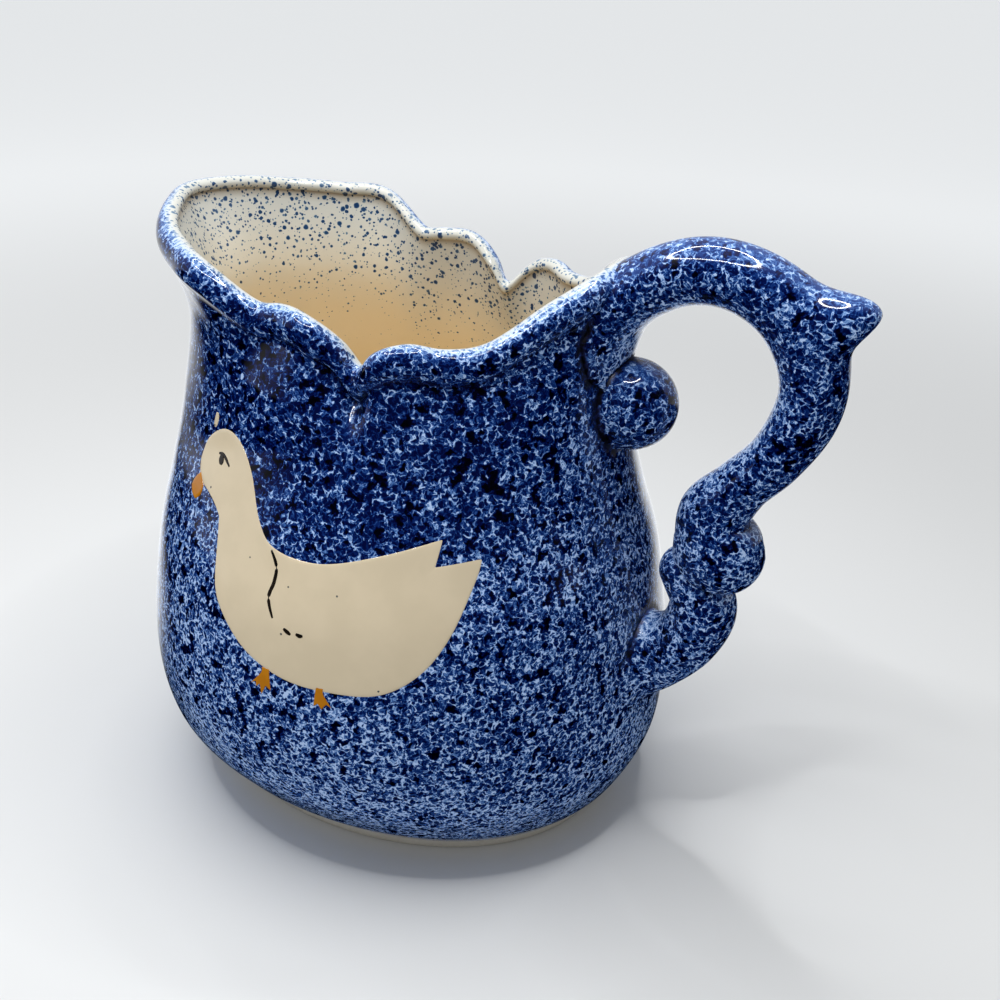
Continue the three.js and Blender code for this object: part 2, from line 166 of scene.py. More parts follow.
# Crest of the rim: a cubic through the knots by angle, level at the handle and at the spout, the
# same on both sides.
def rimCrest(angle):
    turn = foldedDegrees(angle)
    knots = rimKnots[:, 0]
    run = np.diff(knots)
    at = np.clip(np.searchsorted(knots, turn, side="right") - 1, 0, len(run) - 1)
    t = (turn - knots[at]) / run[at]
    found = []
    for column in (1, 2):
        value = rimKnots[:, column]
        rate = np.diff(value) / run
        slope = np.zeros_like(value)
        slope[1:-1] = (rate[:-1] * run[1:] + rate[1:] * run[:-1]) / (run[1:] + run[:-1])
        bend = t * t * (3 - 2 * t)
        lead = t * (1 - t) ** 2 * run[at] * slope[at]
        trail = t * t * (t - 1) * run[at] * slope[at + 1]
        found.append(value[at] * (1 - bend) + value[at + 1] * bend + lead + trail)
    return found


# Cubic through four neighbouring values, which leaves each inner one along the line of its neighbours.
def fourPoint(p0, p1, p2, p3, w):
    v0 = (p2 - p0) / 2
    v1 = (p3 - p1) / 2
    return (2 * p1 - 2 * p2 + v0 + v1) * w**3 + (3 * p2 - 3 * p1 - 2 * v0 - v1) * w**2 + v0 * w + p1


# Smooth curve through knots, at shares of the way along them; the ends repeat.
def splineAt(knots, share):
    last = len(knots) - 1
    at = np.minimum(np.floor(share * last), last - 1).astype(int)
    near = [knots[np.clip(at + k, 0, last)] for k in (-1, 0, 1, 2)]
    return fourPoint(*near, (share * last - at).reshape(-1, *[1] * (knots.ndim - 1)))


# Outside of the wall: reach and height at an angle and at a share of the way from foot to groove,
# a smooth curve through the rings, the throat and the groove under the bead.
def wallPoint(angle, share):
    angle, share = np.broadcast_arrays(angle, share)
    crestReach, crestHeight = rimCrest(angle)
    groove = crestHeight - wall["beadDrop"]
    reach = [ovalReach(front, back, side, angle) for _, front, back, side in rings]
    height = [np.full(angle.shape, ring[0]) for ring in rings]
    reach += [ovalReach(*wall["throat"], angle), crestReach + wall["grooveStep"]]
    height += [rings[-1, 0] + wall["throatShare"] * (groove - rings[-1, 0]), groove]
    last = len(reach) - 1
    at = np.minimum(np.floor(share * last), last - 1).astype(int)
    w = share * last - at
    out = []
    for knots in (np.stack(reach), np.stack(height)):
        near = [np.take_along_axis(knots, np.clip(at + k, 0, last)[None], 0)[0] for k in (-1, 0, 1, 2)]
        out.append(fourPoint(*near, w))
    return out


# Reach of the outside at a height: the wall by halving the share, then the bead, then the crest.
def outsideReach(angle, height):
    low = np.zeros(np.shape(angle))
    high = np.ones(np.shape(angle))
    for _ in range(wall["halvings"]):
        middle = (low + high) / 2
        below = wallPoint(angle, middle)[1] < height
        low = np.where(below, middle, low)
        high = np.where(below, high, middle)
    reach = wallPoint(angle, low)[0]
    crestReach, crestHeight = rimCrest(angle)
    half = wall["beadDrop"] / 2
    lift = np.clip((height - crestHeight + half) / half, -1, 1)
    bead = crestReach + beadOut(angle) * np.sqrt(1 - lift**2)
    return np.where(height < crestHeight - wall["beadDrop"], reach, np.maximum(bead, crestReach))


# Rings moved outwards in plan, square to their own line.
def moveOut(ringPoints, distance):
    spread = round(ringPoints.shape[1] * wall["normalSpread"] / 360)
    along = np.roll(ringPoints, -spread, axis=1) - np.roll(ringPoints, spread, axis=1)
    normal = np.stack([along[..., 1], -along[..., 0]], -1)
    normal /= np.linalg.norm(normal, axis=-1, keepdims=True)
    moved = ringPoints.copy()
    moved[..., :2] += normal * distance
    return moved


def polar(angle, reach, height):
    heights = np.broadcast_to(height, reach.shape)
    return np.stack([reach * np.cos(angle), reach * np.sin(angle), heights], -1)


def aroundAxis():
    return np.linspace(0, 2 * np.pi, wall["around"], endpoint=False)[None]


def closedRound(grid):
    return np.concatenate([grid, grid[:, :1]], 1)


# Outside rows of the wall. Under the roll they run out by the cube of the share of the way up to it.
def outsideRows(angle, crest):
    share = np.linspace(0, 1, wall["rows"])[:, None]
    rows = polar(angle + 0 * share, *wallPoint(angle, share))
    run = wall["hollowDrop"] - wall["beadDrop"]
    runOut = ramp(rows[..., 2] - crest[..., 2], -wall["hollowDrop"], run) ** 3
    return moveOut(rows, wall["hollowOut"] * runOut[..., None])


# Roll of the rim: half an ellipse outside the crest and half a smaller one inside it.
def beadRows(angle, crest):
    turn = np.radians(np.linspace(*wall["beadTurn"], wall["beadRows"]))[:, None, None]
    half = np.where(np.cos(turn) > 0, beadOut(angle)[..., None], wall["beadIn"])
    rows = moveOut(np.repeat(crest, wall["beadRows"], 0), half * np.cos(turn))
    drop = np.where(np.cos(turn[..., 0]) > 0, wall["beadDrop"], wall["beadDropInside"]) / 2
    rows[..., 2] += drop * (np.sin(turn[..., 0]) - 1)
    return rows


# Inside rows: a smooth curve from the end of the roll down through the rings, set in by the thickness.
def insideRows(angle, crest, beadEnd):
    levels = [polar(angle, ovalReach(*ring[1:], angle), ring[0]) for ring in rings[2:]]
    groove = crest[..., 2] - wall["beadDrop"]
    throatHeight = rings[-1, 0] + wall["throatShare"] * (groove - rings[-1, 0])
    levels.append(polar(angle, ovalReach(*wall["throat"], angle), throatHeight))
    knots = [moveOut(level, -wall["thickness"])[0] for level in levels] + [beadEnd]
    return splineAt(np.stack(knots[::-1]), np.linspace(0, 1, wall["insideRows"])[1:])


# Quarter round from the inside to the floor, set in from the heel's ring.
def coveRows(angle):
    heel = polar(angle, ovalReach(*rings[1, 1:], angle), rings[1, 0])
    turn = np.linspace(0, np.pi / 2, wall["coveRows"])[:, None, None]
    inset = wall["thickness"] + wall["coveReach"] * (1 - np.cos(turn))
    rows = moveOut(np.repeat(heel, len(turn), 0), -inset)
    rows[..., 2] = wall["floorTop"] + wall["coveRise"] * (1 - np.sin(turn[..., 0]))
    return rows


# Vessel: over the underside, up the wall, round the roll, down the inside and over a coved floor. With
# it go marks, -1 under the foot, 0 on the wall, 0 to 1 round the roll and 1 inside, and depths under
# the crest.
def vesselGrid():
    angle = aroundAxis()
    foot = rings[0]
    underShare = np.array(wall["underShares"])[:, None]
    under = polar(angle + 0 * underShare, ovalReach(*foot[1:], angle) * underShare, foot[0])
    crest = polar(angle, *rimCrest(angle))
    bead = beadRows(angle, crest)
    cove = coveRows(angle)
    floor = cove[-1:] * np.array(wall["floorShares"])[:, None, None]
    floor[..., 2] = wall["floorTop"]
    parts = [under, outsideRows(angle, crest), bead, insideRows(angle, crest, bead[-1]), cove, floor]
    ends = ((-1, -1), (0, 0), (0, 1), (1, 1), (1, 1), (1, 1))
    marks = np.concatenate([np.linspace(*pair, len(part)) for pair, part in zip(ends, parts)])
    grid = np.vstack(parts)
    depth = np.clip(crest[..., 2] - grid[..., 2], 0, None)
    return [closedRound(a) for a in (grid, marks[:, None] + 0 * angle, depth)]


# Foot: the section of the ring carried round the oval, with its lower edges rounded.
footRing = {"inset": 1, "taper": 1.4, "width": 8, "round": 1.2, "roundSteps": 6}


def footGrid():
    angle = aroundAxis()
    foot = rings[0]
    edge = polar(angle, ovalReach(*foot[1:], angle), 0.0)
    r = footRing["round"]
    turn = np.linspace(0, np.pi / 2, footRing["roundSteps"])
    outer = footRing["inset"] + footRing["taper"]
    inner = footRing["inset"] + footRing["width"]
    outerRound = outer + r * (1 - np.cos(turn))
    innerRound = inner - r + r * np.sin(turn)
    inset = [footRing["inset"], *outerRound, *innerRound, inner]
    height = [foot[0], *(r * (1 - np.sin(turn))), *(r * (1 - np.cos(turn))), foot[0]]
    section = np.array([*zip(inset, height)] + [(inset[0], height[0])])
    grid = moveOut(np.repeat(edge, len(section), 0), -section[:, :1, None])
    grid[..., 2] = section[:, 1:]
    return closedRound(grid)


# Bars of the handle. Each station gives x and z of the centre line, the half thickness on the finger
# side and on the outside, and the half width.
arm = {
    "stations": [
        (50, 150.5, 17, 8, 15), (60, 160.3, 9.6, 8.2, 12.2), (70, 167.8, 8.7, 7.8, 9.8),
        (80.5, 171.2, 8.4, 8.2, 9), (91, 170.6, 8.3, 8.6, 8.8), (101, 166, 8.6, 9.2, 8.8),
        (108, 158, 8.8, 9.4, 8.8), (111, 148, 8.4, 8.5, 8.8), (109.8, 138, 8.2, 8, 8.6),
        (104.5, 126.5, 7.5, 7.2, 8.3), (97, 117, 7.6, 7.4, 8.2), (92.3, 108, 10.6, 8.8, 9),
        (92.7, 100.5, 11.7, 12, 10.2), (93, 96.5, 12, 12.8, 10.6),
    ],
    "startCap": 0.01,  # how far the ends are rounded out
    "endCap": 12,
    "rows": 260,
    "spur": {"along": 69, "reach": 9.7, "runUp": 5.4, "runDown": 2.9},
    "fillet": 2.5,
    "filletLean": 0,
}
bracket = {
    "stations": [
        (84.5, 89, 6.6, 7, 7.5), (90.5, 80, 8.6, 9.7, 9.2), (88, 69, 9, 9.4, 9.5),
        (80, 59.5, 10, 9.6, 10.5), (70, 53, 12, 10.5, 13),
    ],
    "startCap": 6.5,
    "endCap": 0.01,
    "rows": 140,
    "spur": None,
    "fillet": 5,
    "filletLean": 0.6,  # the fillet is larger on the upper side by this share, and smaller below
}
ball = {"x": 65.3, "z": 132.8, "radius": 12.3, "halfWidth": 11, "rows": 48, "fillet": 3, "filletLean": 0}
# What all the handle's pieces share.
scrolls = {
    "fine": 4000,  # steps in which a path is measured
    "step": 1e-4,
    "capRows": 16,
    "around": 72,
    "finger": (0.5, 0.4),  # ramp by how far a section's face turns to the fingers
    "rootDrop": (4, 10),  # ramp by the depth under the crest, for a root's swell
    "onLine": 1e-3,  # points this near the centre line keep their place
    "sink": 2.5,  # how far under the wall's face a root goes
}


# Thumb spur: a bell-shaped rise on the outside, with a run of its own on each side.
def spurRise(along, spur):
    run = np.where(along < spur["along"], spur["runUp"], spur["runDown"])
    return spur["reach"] * np.exp(-(((along - spur["along"]) / run) ** 2))


# Section of half an ellipse outside and half on the finger side, carried along a smooth flat path, with
# quarter rounds that close the ends. The third grid is 1 along the finger side, where fewer dabs paint a
# pale sheen.
def barGrid(bar):
    knots = np.array(bar["stations"], float)
    knots = np.vstack([2 * knots[0] - knots[1], knots, 2 * knots[-1] - knots[-2]])

    def station(share):
        last = len(knots) - 4
        at = np.minimum(np.floor(share * (last + 1)), last).astype(int)
        w = (share * (last + 1) - at)[:, None]
        return fourPoint(*(knots[at + k] for k in range(4)), w)

    fine = np.linspace(0, 1, scrolls["fine"])
    length = np.concatenate([[0], np.cumsum(np.hypot(*np.diff(station(fine)[:, :2], axis=0).T))])
    cap = np.linspace(0, np.pi / 2, scrolls["capRows"])[1:]
    along = np.pad(np.linspace(0, length[-1], bar["rows"]), len(cap), "edge")
    capTurn = np.concatenate([-cap[::-1], np.zeros(bar["rows"]), cap])
    shift = np.where(capTurn < 0, bar["startCap"], bar["endCap"]) * np.sin(capTurn)
    scale = np.cos(capTurn)
    scale[[0, -1]] = 0
    share = np.interp(along, length, fine)
    x, z, inner, outer, width = station(share).T
    step = scrolls["step"]
    ahead = station(np.clip(share + step, 0, 1)) - station(np.clip(share - step, 0, 1))
    tangent = ahead[:, :2] / np.hypot(ahead[:, 0], ahead[:, 1])[:, None]
    rise = spurRise(along, bar["spur"]) if bar["spur"] else 0 * along
    turn = np.linspace(0, 2 * np.pi, scrolls["around"] + 1)
    turn[-1] = 0
    thick = np.where(np.cos(turn) > 0, (outer + rise)[:, None], inner[:, None])
    half = thick * np.cos(turn) * scale[:, None]
    centre = np.stack([x + tangent[:, 0] * shift, 0 * x, z + tangent[:, 1] * shift], -1)[:, None]
    normal = np.stack([-tangent[:, 1], 0 * x, tangent[:, 0]], -1)[:, None]
    grid = centre + normal * half[..., None]
    grid[..., 1] = width[:, None] * scale[:, None] * np.sin(turn)
    finger = ramp(-np.cos(turn), *scrolls["finger"]) + 0 * scale[:, None]
    return grid, centre, finger


# Root on the wall: near the wall a point moves away from its centre line along a quarter circle, so
# that the bar swells into the wall, and no point lies deeper than sink under the face.
def rootOnWall(grid, centre, values):
    sink = scrolls["sink"]
    reach = np.hypot(grid[..., 0], grid[..., 1])
    angle = np.arctan2(grid[..., 1], grid[..., 0])
    gap = reach - outsideReach(angle, grid[..., 2])
    below = ramp(rimCrest(angle)[1] - grid[..., 2], *scrolls["rootDrop"])
    away = grid - centre
    size = np.maximum(np.linalg.norm(away, axis=-1, keepdims=True), scrolls["onLine"] / 2)
    fillet = values["fillet"] * (1 + values["filletLean"] * away[..., 2] / size[..., 0])
    near = np.clip(1 - gap / fillet, 0, 1) * below
    swell = (fillet * (1 - np.sqrt(1 - near**2)))[..., None]
    grown = grid + away / size * swell * (size > scrolls["onLine"])
    reach = np.hypot(grown[..., 0], grown[..., 1])
    angle = np.arctan2(grown[..., 1], grown[..., 0])
    least = outsideReach(angle, grown[..., 2]) - sink
    grown[..., :2] *= (np.maximum(reach, least) / reach)[..., None]
    gap = np.maximum(reach, least) - least - sink
    return grown, gap


# Ball of the upper scroll: an ellipsoid by its two angles.
def ballGrid():
    turn = np.linspace(0, 2 * np.pi, scrolls["around"] + 1)[None]
    turn[:, -1] = 0
    lift = np.linspace(0, np.pi, ball["rows"])[:, None]
    ringSize = np.sin(lift)
    ringSize[[0, -1]] = 0
    centre = np.array([ball["x"], 0, ball["z"]])
    x = ball["radius"] * ringSize * np.cos(turn)
    z = ball["radius"] * ringSize * np.sin(turn)
    y = ball["halfWidth"] * np.cos(lift) + 0 * turn
    return centre + np.stack([x, y, z], -1), centre, 0 * x


# Slip pieces lie on the side wall. They are drawn in side view: x along the pitcher, and height
# above the duck's underside.
slip = {
    "underside": 67.7,
    "thickness": 0.16,
    "bed": 0.12,
    "edgePower": 24,  # the higher, the closer to its border a coat stays full
    "startY": -60.0,
    "rounds": 9,
    "slopeStep": 0.2,
    "finePerPoint": 60,
}


# Side wall at x and z, on the duck's side: the angle and the reach are found in turn until they agree.
def sideWall(x, z):
    y = np.full(x.shape, slip["startY"])
    for _ in range(slip["rounds"]):
        angle = np.arctan2(y, x)
        y = -np.sqrt(np.maximum(outsideReach(angle, z) ** 2 - x**2, 1))
    return y


# Drawing laid on the wall: its places there and the wall's outward direction at each.
def onSideWall(flat):
    x = flat[..., 0]
    z = flat[..., 1] + slip["underside"]
    step = slip["slopeStep"]
    slopeX = (sideWall(x + step, z) - sideWall(x - step, z)) / (2 * step)
    slopeZ = (sideWall(x, z + step) - sideWall(x, z - step)) / (2 * step)
    normal = np.stack([slopeX, -np.ones_like(x), slopeZ], -1)
    normal /= np.linalg.norm(normal, axis=-1, keepdims=True)
    return np.stack([x, sideWall(x, z), z], -1), normal


# Smooth curve through points, at even lengths along it.
def curveThrough(points, count):
    fine = np.linspace(0, 1, slip["finePerPoint"] * (len(points) - 1) + 1)
    return evenly(splineAt(np.array(points, float), fine), count)


# Points at even lengths along a line.
def evenly(line, count):
    line = np.array(line, float)
    length = np.concatenate([[0], np.cumsum(np.linalg.norm(np.diff(line, axis=0), axis=1))])
    at = np.linspace(0, length[-1], count)
    return np.stack([np.interp(at, length, line[:, i]) for i in range(2)], -1)


# Patch between four edges: the two rulings added, less the patch through the corners. Its top is
# flat with rounded borders and its bed lies just under the wall's face, so the shell is closed.
def slipGrid(upper, lower, start, end, proud=0.0):
    u = np.linspace(0, 1, len(upper))[:, None, None]
    v = np.linspace(0, 1, len(start))[None, :, None]
    ruled = (1 - v) * upper[:, None] + v * lower[:, None] + (1 - u) * start[None] + u * end[None]
    corners = (1 - u) * ((1 - v) * upper[0] + v * lower[0]) + u * ((1 - v) * upper[-1] + v * lower[-1])
    flat = ruled - corners
    power = slip["edgePower"]
    crown = (1 - np.abs(2 * u - 1) ** power) * (1 - np.abs(2 * v - 1) ** power)
    place, normal = onSideWall(flat)
    under = place - normal * slip["bed"]
    top = under + normal * (slip["thickness"] + slip["bed"] + proud) * np.sqrt(crown)
    return np.concatenate([top, under[:, ::-1], top[:, :1]], 1)


brush = {
    "fullness": 0.6,
    "tip": 0.35,  # share of the width left at the ends
    "proud": 0.05,  # how far a stroke stands over the slip
    "liftDepth": 0.85,
    "liftSpan": 0.022,
    "rows": 40,
    "longRows": 90,
    "across": 9,
}


# Brush stroke: a width carried along a curve, by a power of a sine full in the middle and drawn out at
# the ends, with a narrow place wherever the brush lifts.
def strokeGrid(points, width, proud=brush["proud"], tip=brush["tip"], lifts=(), count=brush["rows"]):
    line = curveThrough(points, count)
    along = np.gradient(line, axis=0)
    side = np.stack([-along[:, 1], along[:, 0]], -1) / np.linalg.norm(along, axis=1)[:, None]
    s = np.linspace(0, 1, count)
    half = width / 2 * (tip + (1 - tip) * np.sin(np.pi * s) ** brush["fullness"])[:, None]
    for place in lifts:
        half *= 1 - brush["liftDepth"] * np.exp(-(((s - place) / brush["liftSpan"]) ** 2))[:, None]
    upper, lower = line + side * half, line - side * half
    start, end = (evenly([upper[at], lower[at]], brush["across"]) for at in (0, -1))
    return slipGrid(upper, lower, start, end, proud)


duck = {
    "back": [
        (-38.4, 42), (-36, 49), (-29.5, 53.7), (-23, 52.8), (-17, 46.8), (-11, 36.8), (-4.5, 31.9),
        (9, 31.3), (24.3, 35.4), (37.3, 40),
    ],
    "front": [
        (-35.5, 37.8), (-31, 36.6), (-26.6, 34.2), (-23, 30.4), (-21.6, 26), (-22.1, 20.5), (-19, 13.3),
        (-9, 5.2), (4, 0.8), (18, 0), (30, 1.1), (38.5, 7), (43.5, 16.5), (45.7, 28.6), (46.1, 35.4),
    ],
    "face": [(-38.4, 42), (-37.6, 39.4), (-35.5, 37.8)],
    "tail": [(37.3, 40), (36.8, 33.4), (46.1, 35.4)],
    "along": 150,
    "across": 61,
    "drop": [(-33.9, 52.4), (-33.4, 54.4), (-33.3, 56.4)],  # a stray drop over the head
    "dropWidth": 1.8,
}
bill = {
    "upper": [(-36.8, 40), (-39, 37.9), (-40.1, 35.6)],
    "lower": [(-34.2, 37.2), (-34.8, 34.6), (-37, 32.7)],
    "tip": [(-40.1, 35.6), (-39.2, 33.6), (-37, 32.7)],
    "along": 24,
    "across": 13,
    "proud": 0.03,
}
# Feet: the leg's place and half width, then toes and the gaps between them, out and down from it.
feet = {
    "duck_foot_front": {
        "leg": (-0.9, 2.5),
        "half": 1.2,
        "toes": [
            (-4.6, -5.8), (-2.8, -4.6), (-2.6, -6.2), (-1.5, -5), (-0.7, -7.8), (0.4, -5), (2.2, -6),
        ],
    },
    "duck_foot_rear": {
        "leg": (14.9, 1.2),
        "half": 1.0,
        "toes": [(-1.4, -5.6), (-0.2, -4.6), (0.9, -6), (2.1, -4.4), (3.6, -5.2)],
    },
}
# Both legs bend at the knee, by its drop and by how far it stands out on each side.
leg = {"kneeDrop": 1.8, "kneeFront": 0.2, "kneeBack": 0.1, "along": 30, "across": 49, "proud": 0.03}
# Wing strokes: points, width, and the shares of the length at which the brush lifts.
strokes = {
    "duck_wing_line": {
        "points": [(-5.4, 31.2), (-2.6, 27.8), (-2.2, 24.2), (-2.8, 20.2), (-0.3, 15.4)],
        "width": 1.35,
        "lifts": (0.27, 0.69),
    },
    "duck_wing_dash_1": {"points": [(3, 14.2), (4.2, 13.6), (5.4, 13.1)], "width": 1.3, "lifts": ()},
    "duck_wing_dash_2": {"points": [(6.7, 13.7), (7.8, 13.4), (8.8, 13.6)], "width": 1.3, "lifts": ()},
}
eye = {
    "centre": (-28.7, 45.8),
    "radius": 1.4,
    "lean": 0.05,
    "pupilWidth": 1.9,  # in radii
    "pupilTip": 0.2,
    "pupilProud": 0.06,
    "lid": [(-30.4, 46.9), (-28, 47.1), (-25, 45.1)],
    "lidWidth": 1.2,
}


def duckGrid():
    upper = curveThrough(duck["back"], duck["along"])
    lower = curveThrough(duck["front"], duck["along"])
    start = curveThrough(duck["face"], duck["across"])
    end = evenly(duck["tail"], duck["across"])
    return slipGrid(upper, lower, start, end)


def billGrid():
    upper = curveThrough(bill["upper"], bill["along"])
    lower = curveThrough(bill["lower"], bill["along"])
    start = evenly([upper[0], lower[0]], bill["across"])
    end = curveThrough(bill["tip"], bill["across"])
    return slipGrid(upper, lower, start, end, bill["proud"])


# Foot: a fan from the leg to the outer toes; its end edge runs from toe to toe through the gaps.
def legGrid(foot):
    x, top = foot["leg"]
    toes = np.array(foot["toes"]) + (x, top)
    left, right = (x - foot["half"], top), (x + foot["half"], top)
    knee = top - leg["kneeDrop"]
    upper = curveThrough([left, (left[0] - leg["kneeFront"], knee), toes[0]], leg["along"])
    lower = curveThrough([right, (right[0] + leg["kneeBack"], knee), toes[-1]], leg["along"])
    start, end = evenly([left, right], leg["across"]), evenly(toes, leg["across"])
    return slipGrid(upper, lower, start, end, leg["proud"])


# Node helper: a value that is a socket is linked, any other is set on the input itself. A node goes to
# the given tree, or else to the tree of its first link.
def put(kind, values=None, tree=None, **settings):
    values = values or {}
    linked = {key: value for key, value in values.items() if isinstance(value, bpy.types.NodeSocket)}
    tree = tree or next(iter(linked.values())).id_data
    node = tree.nodes.new("ShaderNode" + kind)
    for key, value in settings.items():
        setattr(node, key, value)
    for key, value in values.items():
        if key in linked:
            tree.links.new(value, node.inputs[key])
        else:
            node.inputs[key].default_value = value
    return node


def calc(operation, *values):
    return put("Math", dict(enumerate(values)), operation=operation).outputs[0]


# Sum with vectors, which gives a number for a length, a distance or a product.
def vectorCalc(operation, *values):
    node = put("VectorMath", dict(enumerate(values)), operation=operation)
    return node.outputs["Value" if operation in ("LENGTH", "DISTANCE", "DOT_PRODUCT") else "Vector"]


# Smooth run from first to last while a value runs from low to high. An ease in a dictionary below has
# these four in order, or the first two.
def ease(value, low, high, first=0, last=1):
    values = {"Value": value, "From Min": low, "From Max": high, "To Min": first, "To Max": last}
    return put("MapRange", values, interpolation_type="SMOOTHSTEP").outputs[0]


def blendColour(factor, first, second):
    return put("Mix", {0: factor, 6: first, 7: second}, data_type="RGBA").outputs[2]


def noise(vector, scale, detail=1, roughness=0.5, output=0):
    values = {"Vector": vector, "Scale": scale, "Detail": detail, "Roughness": roughness}
    return put("TexNoise", values).outputs[output]


# Cells about random points: the distance to the nearest point, and its own random shares.
def cells(vector, scale):
    node = put("TexVoronoi", {"Vector": vector, "Scale": scale})
    chances = put("SeparateColor", {0: node.outputs["Color"]}).outputs
    return node.outputs["Distance"], chances


def newMaterial(name, roughness, ior=1.45):
    material = bpy.data.materials.new(name)
    material.use_nodes = True
    tree = material.node_tree
    shader = tree.nodes["Principled BSDF"]
    shader.inputs["Roughness"].default_value = roughness
    shader.inputs["IOR"].default_value = ior
    place = put("TexCoord", tree=tree).outputs["Object"]
    return material, tree, shader, place


# Gloss glaze has a faint ripple, which breaks the edges of its highlights.
def ripple(shader, place, strength=0.05, scale=170):
    values = {"Strength": strength, "Distance": mm, "Height": noise(place, scale)}
    shader.id_data.links.new(put("Bump", values).outputs[0], shader.inputs["Normal"])


sponge = {
    "gloss": 0.07,
    "pooledDull": 0.8,  # what a full pool adds to the roughness, and the most it gets
    "mostDull": 0.4,
    "pale": (0.46, 0.61, 0.9, 1),
    "kept": (0.115, 0.225, 0.43),  # share of red, green and blue that one coat of cobalt lets through
    "coat": 2.2,  # coats in a full dab
    "leastCover": 0.5,
    # Fewer coats on what faces up: a painted sheen, paler on the tops of the rim, the arm and the ball.
    "crest": (0.35, 0.95, 1, 0.5),  # share of the coats that stays on what faces up
    "warp": (0.0005, 1000),  # metres by which places are moved, and waves per metre
    "tear": (0.0024, 420),
    # Layers of dabs from small to large: dabs per metre, radius in shares of their spacing, how far
    # the radius varies, softness of the edge, weight, and how far a dab clears a border about it.
    "layers": [
        (1400, 0.56, 0.2, 0.1, 0.8, 0),
        (980, 0.55, 0.25, 0.09, 0.9, 0.2),
        (600, 0.47, 0.3, 0.07, 1.05, 0.25),
    ],
    "border": 0.00014,
    "patchScale": 40,
    "mottleScale": 130,
    # Growth of the dabs' radius: in clouds, towards the foot, round the roll, on the finger side, where
    # less cobalt paints a sheen, about the place where the sponge was pushed on hardest, and by x in the
    # upper part, where it is partly painted shade.
    "cloud": (0.36, 0.64, -0.03, 0.03),
    "lowShrink": (0.075, 0.012, 0, 0.065),
    "rollShrink": (0.25, 0.5, 0, 0.2),
    # Shrink on the finger side, which paints a pale sheen there.
    "sheenShrink": 0.14,
    "firmPlace": (0.045, -0.035, 0.05),
    "firm": (0.03, 0.14, 0.025, -0.012),
    "upper": (0.092, 0.118),
    # Growth in the upper part, more towards the spout: partly a heavier sponging, partly painted shade
    # that darkens the upper spout side, where the light is strongest.
    "pressAndShade": (-0.005, 0.04, 0.115, 0.05),
    "armPressed": (0.05, 0.065, 0, 0.03),
    "clump": (300, 2.5, 0.55),  # scale, detail and roughness
    "clumpThinning": -0.6,
    "cluster": (0.55, 0.67),
    "clusterWeight": 1.9,
    "poolShadeWeight": 2.2,
}
inside = {
    # Grey near the crest to bright warm deep down: painted light, the warm bounce light deep inside.
    "creamHigh": (0.58, 0.585, 0.54, 1),
    "creamDeep": (0.95, 0.8, 0.54, 1),
    "cream": (4, 42),  # depths under the crest over which the cream deepens
    # Brown of the crease under the inside of the roll: a painted shadow.
    "creamCrease": (0.26, 0.19, 0.11, 1),
    "creaseStart": (2, 3.4, 0, 0.6),
    "creaseEnd": (6.5, 3.4),
    "creaseMark": (0.9, 1),
    # Vessel's marks over which the ground turns to cream, dabs give way to specks, and the foot starts.
    "groundMark": (0.36, 0.6),
    "speckMark": (0.42, 0.62),
    "underMark": (-0.1, -0.5),
    # Specks per metre, and the largest radius in shares of their spacing.
    "specks": [(1000, 0.44), (620, 0.44), (380, 0.37)],
    "speckFade": (2, 70, -0.01, -0.43),  # change of their radius with depth
    "speckOut": 0.13,  # softness of a speck's edge, outwards and inwards
    "speckIn": 0.1,
    "speckStrength": (0.45, 0.4),  # what chance adds, and the least
    "speckWeight": 1.55,
}


# Places moved on by a noise, so that what is laid on them has torn edges.
def bent(place, moved, amount, scale):
    centred = vectorCalc("SUBTRACT", noise(place, scale, output=1), (0.5, 0.5, 0.5))
    return vectorCalc("MULTIPLY_ADD", centred, (amount, amount, amount), moved)


# Dabs shrink towards the foot, round the roll and on the finger side, where the paler glaze is a painted
# sheen.
def dabShrink(height, mark, worn):
    shrink = calc("ADD", ease(height, *sponge["lowShrink"]), ease(mark, *sponge["rollShrink"]))
    return calc("MULTIPLY_ADD", worn, sponge["sheenShrink"], shrink)


# Dabs grow where the sponge was pushed on: about one place, in the upper part and on the arm. In the
# upper part, most towards the spout, the growth is partly painted shade.
def dabGrowth(place, along, height):
    firm = ease(vectorCalc("DISTANCE", place, sponge["firmPlace"]), *sponge["firm"])
    pressAndShade = calc("ADD", ease(along, *sponge["pressAndShade"]), ease(along, *sponge["armPressed"]))
    return calc("MULTIPLY_ADD", ease(height, *sponge["upper"]), pressAndShade, firm)


# Cover of the outside: a dab is a ball about a random point, cut by the surface. Every layer adds to
# the cover, and a larger dab clears a border about it; then come darker clusters and the creases' dark
# lines of pooling glaze and painted shade.
def dabCover(place, torn, swell, thin, pool):
    cover = 0
    for scale, radius, vary, soft, weight, clears in sponge["layers"]:
        distance, chances = cells(torn, scale)
        spread = calc("MULTIPLY_ADD", chances[0], 2 * vary * radius, radius * (1 - vary))
        size = calc("ADD", swell, spread)
        outer, inner = calc("ADD", size, soft), calc("SUBTRACT", size, soft)
        if clears:
            edge = calc("ADD", outer, sponge["border"] * scale)
            kept = ease(distance, outer, edge, 1 - clears, 1)
            cover = calc("MULTIPLY", cover, kept)
        cover = calc("MULTIPLY_ADD", ease(distance, outer, inner), weight, cover)
    clump = calc("MULTIPLY_ADD", thin, sponge["clumpThinning"], noise(place, *sponge["clump"]))
    cover = calc("MULTIPLY_ADD", ease(clump, *sponge["cluster"]), sponge["clusterWeight"], cover)
    return calc("MULTIPLY_ADD", pool, sponge["poolShadeWeight"], cover)


